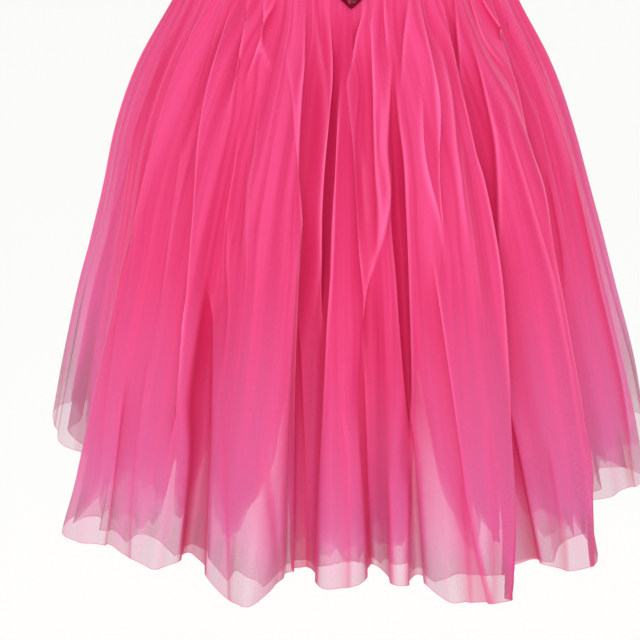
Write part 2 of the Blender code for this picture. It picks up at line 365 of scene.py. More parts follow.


# By the side of the hollow, in millimetres: rise, lean, flank, reach, then gloss and shade in
# tenths, which set the painted highlight on the crest and the painted shade in the hollow, then
# the path from its head down, each point with its place across and its depth.
FRONT_FOLD_ROWS = {
    Side.LEFT: (
        (5, 5.8, 20, 22, 5, 8, (-129, 125), (-161, 194), (-184, 270), (-206, 375)),
        (3.7, 4.3, 12, 12, 6, 8, (-236, 340), (-265, 480), (-274, 680)),
        (5.6, 6, 24, 12, 8, 9, (-103, 118), (-129, 206), (-140, 318), (-147, 402), (-166, 530)),
        (1.4, 1.8, 5, 4, 6, 3, (-138, 367), (-143, 426), (-148, 499)),
        (4, 4.5, 10, 8, 7, 9, (-121, 355), (-122, 433), (-125, 500), (-130, 580), (-132, 680)),
        (5, 6.5, 12, 8, 8, 10, (-89, 118), (-98, 170), (-107, 225)),
        (4.3, 5, 10, 5, 9, 10, (-75, 118), (-82, 160), (-92, 205)),
        (2.5, 2.9, 14, 12, 5, 3, (-97, 230), (-109, 300), (-114, 390)),
        (1.9, 2.2, 14, 14, 3, 3, (-88, 245), (-94, 350)),
        (2.5, 2.9, 10, 10, 4, 2, (-58, 160), (-53, 250), (-44, 340)),
        (1.5, 1.8, 8, 8, 3, 4, (-113, 131), (-128, 174), (-139, 214)),
        (1.8, 2.2, 10, 8, 3, 4, (-150, 248), (-161, 323), (-170, 400)),
        (1.5, 1.8, 9, 10, 3, 4, (-207, 385), (-222, 470), (-230, 550)),
        (1.5, 1.8, 9, 8, 3, 3, (-181, 430), (-193, 510), (-203, 680)),
        (1.6, 2, 8, 7, 4, 3, (-80, 210), (-86, 275), (-90, 350)),
        (1.4, 1.6, 7, 6, 4, 3, (-104, 300), (-106, 360), (-111, 455)),
        (1.6, 2, 7, 6, 3, 3, (-80, 480), (-76, 550), (-74, 680)),
        (1.6, 2, 7, 6, 3, 4, (-45, 390), (-40, 500), (-38, 680)),
        (1.6, 2, 6, 5, 4, 4, (12, 240), (17, 325)),
        (1.4, 1.8, 6, 5, 5, 3, (27, 195), (26, 270)),
        (1.6, 2, 7, 6, 3, 4, (-6, 450), (-4, 520), (-3, 680)),
        (5, 5, 12, 6, 9, 9, (-9, 185), (-17, 270), (-22, 400), (-29, 540), (-34, 680)),
        (4.3, 5, 12, 13, 8, 8, (10, 118), (3, 157), (-5, 200)),
        (5, 5.8, 12, 11, 8, 9, (-3, 180), (2, 260), (10, 420)),
        (5, 5.8, 14, 10, 9, 7, (18, 118), (18, 210), (21, 355)),
        (2.5, 2.9, 8, 6, 7, 3, (27, 115), (34, 175)),
        (3.7, 4.3, 10, 7, 7, 9, (9, 370), (14, 470), (22, 680)),
        (3.1, 4.3, 6, 5, 5, 7, (33, 500), (36, 680)),
        (7.5, 7.6, 14, 11, 10, 10, (38, 180), (47, 300), (55, 500)),
        (5, 5.8, 12, 8, 8, 4, (53, 440), (61, 550), (70, 680)),
        (3.7, 4.3, 10, 7, 8, 8, (51, 115), (45, 150), (43, 200)),
        (1.4, 1.8, 7, 5, 5, 3, (64, 175), (69, 237), (73, 310)),
        (1.6, 2, 8, 6, 3, 3, (93, 490), (98, 547), (102, 680)),
        (1.6, 2, 9, 7, 3, 4, (174, 490), (186, 556), (196, 680)),
        (5, 6.5, 18, 10, 8, 6, (66, 310), (83, 420), (100, 530), (122, 680)),
        (3.7, 4.3, 12, 7, 8, 8, (91, 115), (95, 154), (102, 205)),
        (3.1, 3.6, 12, 8, 8, 4, (106, 120), (118, 156), (136, 192)),
        (2.5, 2.9, 10, 6, 9, 4, (117, 120), (131, 148), (143, 172)),
        (5, 5.8, 18, 14, 10, 9, (106, 150), (120, 218), (134, 350)),
        (3.7, 5, 14, 13, 4, 9, (141, 450), (157, 530), (190, 680)),
        (1.9, 2.2, 12, 12, 3, 5, (181, 270), (199, 340), (209, 410)),
        (3.1, 3.6, 10, 14, 5, 6, (211, 270), (240, 380), (271, 490), (298, 640)),
    ),
    Side.RIGHT: (
        (2.5, 2.9, 10, 18, 4, 8, (-172, 165), (-217, 280), (-259, 414), (-300, 580)),
        (3.7, 5, 14, 8, 6, 3, (-204, 450), (-220, 560), (-240, 680)),
        (1.9, 2.2, 14, 14, 3, 3, (-143, 245), (-165, 372)),
        (4.5, 6, 9, 10, 5, 10, (-123, 350), (-131, 413), (-141, 490), (-153, 590), (-162, 680)),
        (3.1, 4.3, 8, 8, 8, 6, (-65, 120), (-72, 150), (-69, 185)),
        (4.3, 5.8, 16, 8, 5, 4, (-50, 280), (-58, 400), (-64, 520), (-64, 680)),
        (9, 10.2, 22, 14, 10, 9, (-40, 115), (-41, 200), (-44, 300), (-49, 430), (-52, 680)),
        (1.8, 2.2, 10, 8, 3, 4, (-187, 239), (-205, 315), (-212, 380)),
        (1.8, 2.2, 8, 6, 4, 3, (-113, 470), (-109, 530), (-102, 680)),
        (1.8, 2.2, 8, 6, 4, 4, (-31, 130), (-28, 195), (-33, 282), (-36, 390)),
        (1.6, 2, 6, 5, 4, 5, (-10, 225), (-11, 300), (-15, 390)),
        (7.5, 8.5, 12, 9, 9, 10, (-21, 115), (-17, 180), (-25, 250), (-26, 420)),
        (3.1, 3.4, 11, 7, 8, 6, (35, 165), (34, 241), (32.5, 275), (28.5, 305), (22, 335), (13, 380),
         (9, 440)),
        (3.1, 4.3, 10, 4, 5, 7, (4, 450), (12, 550), (18, 680)),
        (3.1, 4.3, 6, 5, 5, 7, (50, 500), (51, 680)),
        (4.3, 4.3, 10, 12, 5, 10, (35, 240), (37, 320), (52, 500)),
        (4.3, 5, 11, 8, 9, 7, (57, 115), (67, 160), (75, 202), (75, 255), (79, 335)),
        (3.7, 4.3, 10, 8, 10, 4, (58, 190), (63, 250), (81, 335)),
        (1.6, 2, 8, 6, 4, 4, (88, 240), (99, 311), (109, 390)),
        (1.6, 2, 7, 6, 4, 3, (111, 450), (117, 532), (119, 680)),
        (1.6, 2, 10, 8, 4, 3, (156, 254), (165, 321), (181, 406)),
        (1.8, 2.2, 10, 10, 3, 5, (169, 205), (186, 268), (207, 345)),
        (3.1, 3.6, 7, 6, 8, 6, (73, 155), (82, 203), (86, 235), (96, 330)),
        (7.5, 9.3, 18, 10, 9, 10, (79, 115), (102, 215), (125, 335), (140, 480), (138, 570), (134, 680)),
        (3.1, 3.6, 9, 5, 9, 4, (104, 230), (121, 360), (130, 480), (130, 680)),
        (3.1, 3.6, 18, 10, 6, 3, (129, 205), (152, 290), (181, 410), (208, 550)),
        (9, 10.2, 22, 13, 10, 10, (127, 120), (151, 197), (171, 285), (194, 394), (217, 510), (226, 680)),
        (2.5, 3.6, 10, 6, 4, 5, (204, 490), (211, 600), (212, 680)),
        (2.5, 2.9, 8, 6, 5, 4, (139, 125), (149, 154), (161, 192)),
    ),
}


def front_folds() -> list[Fold]:
    """Make the front's folds from their rows, with the paths turned to run up from the foot."""
    return [Fold(side, *(size / 1000 for size in row[:4]), row[4] / 10, row[5] / 10,
                 [(-depth / 1000, across / 1000) for across, depth in row[:5:-1]])
            for side, rows in FRONT_FOLD_ROWS.items() for row in rows]


def back_folds(count: int = 30) -> list[Fold]:
    """Make the back's folds, spread evenly and then made uneven by sines of their number.

    A path keeps its share of the half width, but for a slow wander. The folds are shallower
    towards the sides, where the flutes already stand out.
    """
    folds = []
    heights = np.array([0.0, 0.33, 0.66, 1.0])
    for i in range(count):
        share = -0.93 + 1.86 * (i + 0.5 + 0.36 * math.sin(2.4 * i + 0.9)) / count
        head = -0.085 - 0.045 * (1 + math.sin(3.7 * i + 0.3))
        foot = -0.68 if i % 3 == 0 else -0.44 - 0.11 * math.sin(1.6 * i)
        z = head + (foot - head) * heights
        width = FORM.outline_radius(np.full(4, 90.0), np.maximum(z, FORM.hem_height))
        wander = 0.008 * np.sin(1.3 * i + 2.6 * heights)
        size = (1 + 0.35 * math.sin(2.2 * i + 2.0)) * (1 - 0.75 * share**4)
        folds.append(Fold(
            Side.RIGHT if math.sin(2.9 * i) > 0 else Side.LEFT,
            0.0055 * size, 0.0070 * size, 0.016 + 0.005 * math.sin(1.9 * i), 0.010 * size,
            # The strengths of the painted highlight on the crest and the painted shade in the hollow.
            0.75 + 0.2 * math.sin(3.1 * i),
            (0.70 + 0.25 * math.sin(1.1 * i)) * (1 - 0.5 * share**4),
            list(zip(z, share * width + wander))[::-1]))
    return folds


FOLDS = {Half.FRONT: front_folds(), Half.BACK: back_folds()}


@dataclass(frozen=True)
class FoldField:
    """Where one half's folds show, and the side pleats that take over where they don't."""

    half: Half
    least_cosine: float = 0.3
    facing_reach: float = 0.45  # folds fade where the cloth faces less squarely than this
    hidden_reach: float = 0.005  # and where it lies this far behind nearer cloth
    aside_cosine: float = 0.60  # away from the middle, past this cosine of the angle,
    aside_width: float = 0.15
    square_reach: float = 0.45  # they fade on flanks that are less square than this
    pleat_top: float = -0.10
    pleat_fade: float = 0.10
    pleat_shading_mark: float = 0.5  # the most that a pleat adds to the marks: painted highlight on its ridges and painted shade in its troughs, with their plies

    def hidden_depth(self, across: Array) -> Array:
        """How far points of rows from side to side lie behind cloth that is nearer the middle."""
        reach = np.abs(across)
        middle = reach.shape[-1] // 2
        hidden = np.zeros_like(reach)
        for half in (np.s_[..., middle:], np.s_[..., middle::-1]):
            hidden[half] = np.maximum.accumulate(reach[half], axis=-1) - reach[half]
        return hidden

    def nearness(self, angle: Array, radius: Array) -> Array:
        """Share of the folds that shows: 1 on cloth in full view that faces front or back."""
        across = radius * np.sin(angle)
        along = np.gradient(across, axis=-1)
        squarely = np.abs(along) / np.hypot(along, np.gradient(radius * np.cos(angle), axis=-1))
        aside = smooth_step((self.aside_cosine - np.cos(angle)) / self.aside_width)
        near = (smooth_step(np.cos(angle) * self.half.sign / self.facing_reach)
                * smooth_step(1 - self.hidden_depth(across) / self.hidden_reach))
        return near * (1 - aside * (1 - smooth_step(squarely / self.square_reach)))

    def work(self, degrees: Array, height: Array, radius: Array, shift: float) -> tuple[Array, ...]:
        """Add up what the folds, moved right by a shift, and the side pleats do to points.

        Returns:
            Shifts outwards and sideways, and marks of the crests' painted highlight and the hollows'
            painted shade, held under 1.
        """
        angle = np.radians(degrees)
        across = radius * np.sin(angle) - shift
        cosine = np.maximum(np.cos(angle) * self.half.sign, self.least_cosine)
        outwards, sideways, crest, hollow = sum(
            fold.work(across, np.sin(angle), cosine, height) for fold in FOLDS[self.half])
        near = self.nearness(angle, radius)
        pleat = FORM.pleat_wave(degrees) * (1 - near)
        fade = smooth_step((self.pleat_top - height) / self.pleat_fade)
        mark = self.pleat_shading_mark * fade
        # A side pleat's ridges add painted highlight and its troughs painted shade.
        return (outwards * near + pleat * fade * FORM.pleat_height,
                sideways * near * self.half.sign,
                np.minimum(crest * near + mark * np.maximum(pleat, 0)**6, 1),
                np.minimum(hollow * near + mark * np.maximum(-pleat, 0)**2, 1))


# Meshes


def grid_faces(rows: int, columns: int) -> Array:
    """List the quads of a grid, wound so that they face outwards."""
    corner = np.arange(rows - 1)[:, None] * columns + np.arange(columns - 1)
    faces = np.stack((corner, corner + columns, corner + columns + 1, corner + 1), axis=-1)
    return faces.reshape(-1, 4)


def place(name: str, data: bpy.types.ID) -> Piece:
    """Put an object into the scene."""
    piece = bpy.data.objects.new(name, data)
    bpy.context.scene.collection.objects.link(piece)
    return piece


def new_piece(name: str, points: Array, faces: Array | None = None, uv: Array | None = None,
              marks: dict[str, Array] | None = None) -> Piece:
    """Make a smooth mesh object at the origin.

    Args:
        name: the piece's name.
        points: XYZ of each vertex, on a grid where no faces are given.
        faces: the vertex numbers of each face.
        uv: UV of each vertex, in metres of flat cloth.
        marks: values of each vertex, kept as attributes by name.
    """
    if faces is None:
        faces = grid_faces(*points.shape[:2])
    mesh = bpy.data.meshes.new(name)
    mesh.from_pydata(points.reshape(-1, 3).tolist(), [], faces.tolist())
    if uv is not None:
        layer = mesh.uv_layers.new(name="cloth")
        layer.data.foreach_set("uv", uv.reshape(-1, 2)[faces.ravel()].astype(np.float32).ravel())
    for mark, values in (marks or {}).items():
        attribute = mesh.attributes.new(mark, "FLOAT", "POINT")
        attribute.data.foreach_set("value", values.astype(np.float32).ravel())
    mesh.shade_smooth()
    return place(name, mesh)


def dress(piece: Piece, material: Material, slot: str, *nodes: str) -> None:
    """Give a piece its material and body, and hide the model's parts of the named nodes."""
    piece.data.materials.append(material)
    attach(piece, BODY)
    if nodes:
        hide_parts(*nodes)
    LOG.info("%s: %d vertices, %d faces", piece.name, len(piece.data.vertices),
             len(piece.data.polygons))


# Node groups and finishes


@dataclass
class NodeTree:
    """A node tree with short ways to place and join nodes."""

    tree: Group

    def fill(self, node: Node, values: dict[int | str, object]) -> Node:
        """Join a node's inputs to other sockets or set their values; a colour gets its alpha."""
        for name, value in values.items():
            if isinstance(value, Socket):
                self.tree.links.new(value, node.inputs[name])
            else:
                node.inputs[name].default_value = (*value, 1.0) if isinstance(value, tuple) else value
        return node

    def add(self, kind: str, *values: object, **settings: object) -> Node:
        """Place a shader node, set its properties and fill its first inputs."""
        node = self.tree.nodes.new(f"ShaderNode{kind}")
        for name, value in settings.items():
            setattr(node, name, value)
        return self.fill(node, dict(enumerate(values)))

    def math(self, operation: str, *values: object) -> Socket:
        """Work out a Math node's result."""
        return self.add("Math", *values, operation=operation).outputs[0]

    def times(self, first: object, second: object) -> Socket:
        """Multiply two values."""
        return self.math("MULTIPLY", first, second)

    def times_plus(self, first: object, second: object, more: object) -> Socket:
        """Multiply two values and add a third."""
        return self.math("MULTIPLY_ADD", first, second, more)

    def rest(self, value: object) -> Socket:
        """Take a value from 1."""
        return self.math("SUBTRACT", 1.0, value)

    def mix(self, share: object, first: object, second: object) -> Socket:
        """Mix two colours."""
        node = self.add("Mix", share, data_type="RGBA")
        return self.fill(node, {6: first, 7: second}).outputs[2]

    def span(self, value: object, start: float, end: float, **settings: object) -> Socket:
        """Map a value to a share from 0 at the start to 1 at the end."""
        return self.add("MapRange", value, start, end, **settings).outputs[0]

    def mark(self, name: str) -> Socket:
        """Read one of the mesh's marks."""
        return self.add("Attribute", attribute_name=name).outputs["Fac"]

    def noise(self, where: Socket, scale: float) -> Node:
        """Place flat noise."""
        node = self.add("TexNoise", noise_dimensions="2D")
        return self.fill(node, {"Vector": where, "Scale": scale, "Detail": 2.0})

    def bump(self, height: Socket, strength: float, depth: float) -> Socket:
        """Turn a height from 0 to 1 into a normal."""
        node = self.add("Bump")
        return self.fill(node, {"Strength": strength, "Distance": depth, "Height": height}).outputs[0]

    def group(self, group: Group, **values: object) -> Socket:
        """Place a node group with its values."""
        return self.fill(self.add("Group", node_tree=group), values).outputs[0]


def new_group(name: str, numbers: tuple[str, ...], result: str) -> tuple[NodeTree, dict, object]:
    """Start a group that reads Cloth and numbers: its tree, what it is given, and its end."""
    group = bpy.data.node_groups.new(name, "ShaderNodeTree")
    group.interface.new_socket(name="Cloth", in_out="INPUT", socket_type="NodeSocketVector")
    for number in numbers:
        group.interface.new_socket(name=number, in_out="INPUT", socket_type="NodeSocketFloat")
    group.interface.new_socket(name=result, in_out="OUTPUT", socket_type="NodeSocketFloat")
    return NodeTree(group), group.nodes.new("NodeGroupInput").outputs, group.nodes.new("NodeGroupOutput")


NET_WANDER = 160.0  # how often a metre the noise that moves the net changes
STREAK_CHANGE = 3.0  # the same for the streaks, down the cloth


def net_group() -> Group:
    """Make the tulle's hexagonal net.

    Three cosines of the cloth's UV, 60 degrees apart, add up to hills in the holes and low ground
    along the threads. Noise moves the place by more than a hole, as net is never drawn evenly.
    """
    nodes, given, result = new_group("hexagonal_net", ("Pitch", "Drawn"), "Thread")
    noise = nodes.noise(given["Cloth"], NET_WANDER).outputs["Color"]
    moved = nodes.add("VectorMath", noise, given["Drawn"], given["Cloth"], operation="MULTIPLY_ADD")
    axes = nodes.add("SeparateXYZ", moved.outputs[0]).outputs
    turn = nodes.math("DIVIDE", 2 * math.pi, given["Pitch"])
    across = nodes.times(axes[0], turn)
    half = nodes.times(across, -0.5)
    along = nodes.times(nodes.times(axes[1], turn), math.sqrt(0.75))
    waves = (across, nodes.math("ADD", half, along), nodes.math("SUBTRACT", half, along))
    first, second, third = (nodes.math("COSINE", wave) for wave in waves)
    hills = nodes.math("ADD", nodes.math("ADD", first, second), third)
    nodes.fill(result, {"Thread": nodes.span(hills, 0.9, -0.9, interpolation_type="SMOOTHSTEP")})
    return nodes.tree


def streak_group() -> Group:
    """Make the cloth's uneven density: noise drawn out down its length."""
    nodes, given, result = new_group("cloth_streaks", ("Width",), "Streak")
    axes = nodes.add("SeparateXYZ", given["Cloth"]).outputs
    place = nodes.add("CombineXYZ", nodes.math("DIVIDE", axes[0], given["Width"]),
                      nodes.times(axes[1], STREAK_CHANGE))
    nodes.fill(result, {"Streak": nodes.noise(place.outputs[0], 1.0).outputs[0]})
    return nodes.tree


def new_material(name: str) -> tuple[Material, NodeTree, Node]:
    """Make a material, and return it with its node tree and its shader."""
    material = bpy.data.materials.new(name)
    material.use_nodes = True
    return material, NodeTree(material.node_tree), material.node_tree.nodes["Principled BSDF"]


@dataclass(frozen=True)
class TulleFinish:
    """Fine net: sheer where one ply hangs free, dense and deeper pink where it is gathered."""

    name: str
    thin_colour: Colour
    sheer_colour: Colour
    dense_colour: Colour
    hole_cover: float = 0.49  # share of the view that net covers between threads
    thread_cover: float = 0.58
    thin_plies: float = 0.70  # up to here the colour is the thin one
    sheer_plies: float = 0.94  # here it is the sheer one
    dense_plies: float = 2.05  # and from here the dense one
    net_pitch: float = 0.0013
    net_drawn: float = 0.0060  # how far the net wanders
    streak_width: float = 0.013
    roughness: float = 0.60
    sheen: float = 0.18
    sheen_roughness: float = 0.30
    sheen_tint: Colour = (1.0, 0.62, 0.74)
    specular: float = 0.15
    bump_strength: float = 0.15
    bump_depth: float = 0.0002
    painted_glow: float = 0.12  # painted glow: emission of its own colour, standing in for light that comes through from the other side
    # Painted shade in the fold hollows: its colour and share, then the plies that the hollow mark adds.
    hollow_shade_colour: Colour = (0.53, 0.011, 0.080)
    hollow_shade_share: float = 0.80
    hollow_plies: float = 1.5
    # Painted highlight along the fold crests: its dense and sheer colours and share, then the plies that
    # the crest mark adds.
    crest_highlight_colour: Colour = (0.92, 0.145, 0.36)
    sheer_crest_highlight_colour: Colour = (0.60, 0.044, 0.20)
    crest_highlight_share: float = 0.75
    crest_plies: float = 1.2
    edge_on: float = 0.38  # keeps cloth seen edge on from turning solid
    rim_shade_colour: Colour = (0.30, 0.085, 0.145)  # painted shade: a dark colour on sheer net where it turns away from the view
    rim_shade_share: float = 0.85
    deep_tone: float = 0.33  # how far dense streaks go to the hollows' colour
    light_tone: float = 0.12  # and to the crests'

    def material(self, net: Group, streaks: Group) -> Material:
        """Make the material: light passes n plies with (1 - cover)^n, and more count at a slant.

        Its colour paints shade in the hollows and on sheer net that turns away, and a highlight on the
        crests, and its emission paints a glow.
        """
        material, nodes, shader = new_material(self.name)
        cloth = nodes.add("UVMap", uv_map="cloth").outputs[0]
        streak = nodes.group(streaks, Cloth=cloth, Width=self.streak_width)
        thread = nodes.group(net, Cloth=cloth, Pitch=self.net_pitch, Drawn=self.net_drawn)
        # The crest and hollow marks add plies and paint a highlight on the crests and shade in the
        # hollows.
        crest, hollow = nodes.mark("crest"), nodes.mark("hollow")
        cover = nodes.times_plus(thread, self.thread_cover - self.hole_cover, self.hole_cover)
        cosine = nodes.rest(nodes.add("LayerWeight", 0.5).outputs["Facing"])
        uneven = nodes.times(nodes.mark("plies"), nodes.times_plus(streak, 0.5, 0.75))
        doubled = nodes.times_plus(hollow, self.hollow_plies, uneven)
        doubled = nodes.times_plus(crest, self.crest_plies, doubled)
        slant = nodes.times_plus(cosine, 1 - self.edge_on, self.edge_on)
        passed = nodes.math("POWER", nodes.rest(cover), nodes.math("DIVIDE", doubled, slant))
        sheer = nodes.span(uneven, self.thin_plies, self.sheer_plies)
        dense = nodes.span(uneven, self.sheer_plies, self.dense_plies)
        tone = nodes.span(streak, 0.34, 0.66)
        # The crests' painted highlight colour, from sheer to dense.
        edge = nodes.mix(dense, self.sheer_crest_highlight_colour, self.crest_highlight_colour)
        # Painted shade where sheer net turns away from the view.
        rim = nodes.times(nodes.rest(dense), nodes.span(cosine, 0.15, 0.05))
        colour = nodes.mix(sheer, self.thin_colour, self.sheer_colour)
        # Over the ply colours: the dense colour, random streak tones, then the painted shade of the
        # hollows, the painted highlight of the crests and the painted shade of the rims.
        for share, further in (
                (dense, self.dense_colour),
                (nodes.times(nodes.rest(tone), nodes.times(dense, self.deep_tone)), self.hollow_shade_colour),
                (nodes.times(tone, nodes.times(dense, self.light_tone)), self.crest_highlight_colour),
                (nodes.times(hollow, self.hollow_shade_share), self.hollow_shade_colour),
                (nodes.times(crest, self.crest_highlight_share), edge),
                (nodes.times(rim, self.rim_shade_share), self.rim_shade_colour)):
            colour = nodes.mix(share, colour, further)
        # The emission repeats the colour as a painted glow.
        nodes.fill(shader, {
            "Base Color": colour, "Emission Color": colour, "Emission Strength": self.painted_glow,
            "Alpha": nodes.rest(passed), "Roughness": self.roughness, "Sheen Weight": self.sheen,
            "Normal": nodes.bump(thread, self.bump_strength, self.bump_depth),
            "Sheen Roughness": self.sheen_roughness, "Sheen Tint": self.sheen_tint,
            "Specular IOR Level": self.specular})
        return material


@dataclass(frozen=True)
class BandFinish:
    """Dark wine stretch cloth with a fine knit and a soft shine."""

    name: str = "band_cloth"
    colour: Colour = (0.110, 0.001, 0.010)
    light_colour: Colour = (0.230, 0.004, 0.028)
    knit_pitch: float = 0.0009
    knit_share: float = 0.7  # of its waves down the cloth to those across
    roughness: float = 0.55
    specular: float = 0.04
    bump_strength: float = 0.4
    bump_depth: float = 0.0003

    def material(self) -> Material:
        """Make the material: two crossed waves along the cloth are its knit."""
        material, nodes, shader = new_material(self.name)
        axes = nodes.add("SeparateXYZ", nodes.add("UVMap", uv_map="cloth").outputs[0]).outputs
        turn = 2 * math.pi / self.knit_pitch
        across = nodes.math("SINE", nodes.times(axes[0], turn))
        along = nodes.math("SINE", nodes.times(axes[1], self.knit_share * turn))
        knit = nodes.times_plus(nodes.times(across, along), 0.5, 0.5)
        nodes.fill(shader, {"Base Color": nodes.mix(knit, self.colour, self.light_colour),
                            "Normal": nodes.bump(knit, self.bump_strength, self.bump_depth),
                            "Roughness": self.roughness, "Specular IOR Level": self.specular})
        return material


@dataclass(frozen=True)
class SequinFinish:
    """Wine red sequins, each its own shade, with a clear gloss."""

    name: str = "sequins"
    dark: Colour = (0.085, 0.002, 0.010)
    light: Colour = (0.46, 0.022, 0.075)
    roughness: float = 0.24
    roughness_spread: float = 0.18
    metallic: float = 0.5
    coat: float = 0.2
    coat_roughness: float = 0.12

    def material(self) -> Material:
        """Make the material: each disc's own number sets its shade and its gloss."""
        material, nodes, shader = new_material(self.name)
        shade = nodes.mark("shade")
        nodes.fill(shader, {
            "Base Color": nodes.mix(nodes.math("POWER", shade, 2.0), self.dark, self.light),
            "Roughness": nodes.times_plus(shade, self.roughness_spread, self.roughness),
            "Metallic": self.metallic, "Coat Weight": self.coat,
            "Coat Roughness": self.coat_roughness})
        return material


# Tulle layers


class HemLift(NamedTuple):
    """A place where a hem lies higher."""

    degrees: float
    half_width: float  # in degrees
    lift: float
    first_ply: int = 0  # it leaves those outside as they are
    right_share: float = 1.0  # of the half width, on its right
    power: float = 1.3  # of the distance in its e^-d


@dataclass(frozen=True)
class SheerSide:
    """The stretch at each side where the outer net hangs free in few plies and stands off."""

    left_degrees: float = 74.0  # from here the net thins on the left
    right_degrees: float = 57.0  # and from here on the right
    outer_degrees: float = 85.0  # from here it is thinnest
    least_share: float = 0.58  # of the plies elsewhere
    pleat_share: float = 0.35  # how uneven it is there
    middle_place: float = 2.0
    middle_degrees: float = 11.0  # of the middle, where more cloth is gathered
    middle_share: float = 0.30

    def share(self, degrees: Array, down: Array) -> Array:
        """Share of the plies left: less at both sides, more round the middle down to the hem."""
        turned = wrap(degrees)
        inner = np.where(turned > 0.0, self.right_degrees, self.left_degrees)
        near = smooth_step((90.0 - inner - np.abs(np.abs(turned) - 90.0))
                           / (self.outer_degrees - inner))
        near = near * (1 - self.pleat_share * FORM.pleat_wave(degrees))
        middle = self.middle_share * np.exp(-((turned - self.middle_place) / self.middle_degrees)**2)
        return 1 + middle * (1 - down**6) - (1 - self.least_share) * near


